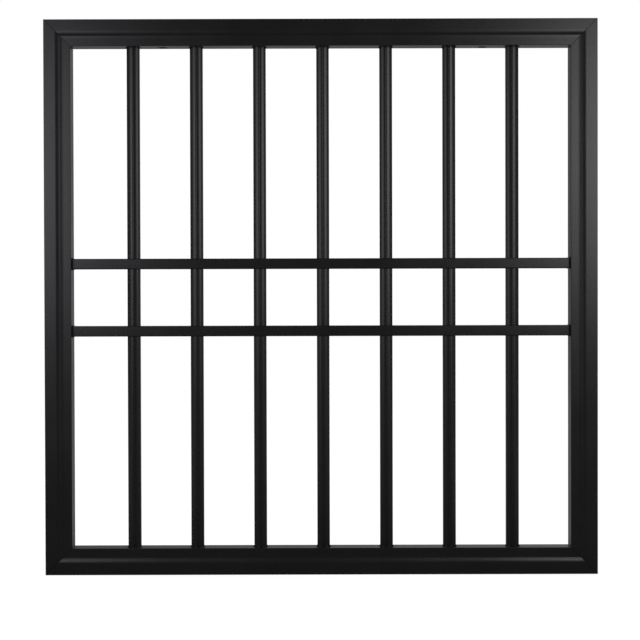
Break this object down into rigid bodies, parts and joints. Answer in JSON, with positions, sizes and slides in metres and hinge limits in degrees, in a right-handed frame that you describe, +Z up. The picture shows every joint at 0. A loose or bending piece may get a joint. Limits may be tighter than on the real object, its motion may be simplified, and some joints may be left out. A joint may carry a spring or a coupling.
{
  "type": "window security grille",
  "caption": "Flat black window grille: a mitred moulded frame holding grooved upright bars and closely set cross bars.",
  "frame": {"origin": "middle of the bottom face of the bottom rail", "axes": "+Z up along the upright bars, +X to the right seen from the front, -Y out of the moulded front face, +Y towards the window or wall"},
  "size_m": [0.9, 0.04, 0.904],
  "materials": {
    "black_powder_coat": "satin black powder coat on extruded aluminium",
    "bare_aluminium": "mill finish, sawn"
  },
  "bodies": {
    "root": {"top_rail": "black_powder_coat", "bottom_rail": "black_powder_coat", "left_stile": "black_powder_coat", "right_stile": "black_powder_coat", "upright_bar_1": "black_powder_coat", "upright_bar_2": "black_powder_coat", "upright_bar_3": "black_powder_coat", "upright_bar_4": "black_powder_coat", "upright_bar_5": "black_powder_coat", "upright_bar_6": "black_powder_coat", "upright_bar_7": "black_powder_coat", "upper_cross_bar": "black_powder_coat", "lower_cross_bar": "black_powder_coat", "top_bar_welds": "black_powder_coat", "bottom_bar_welds": "black_powder_coat", "left_cross_bar_welds": "black_powder_coat", "right_cross_bar_welds": "black_powder_coat", "top_left_corner_cleat": "bare_aluminium", "top_right_corner_cleat": "bare_aluminium", "bottom_left_corner_cleat": "bare_aluminium", "bottom_right_corner_cleat": "bare_aluminium"}
  },
  "joints": []
}
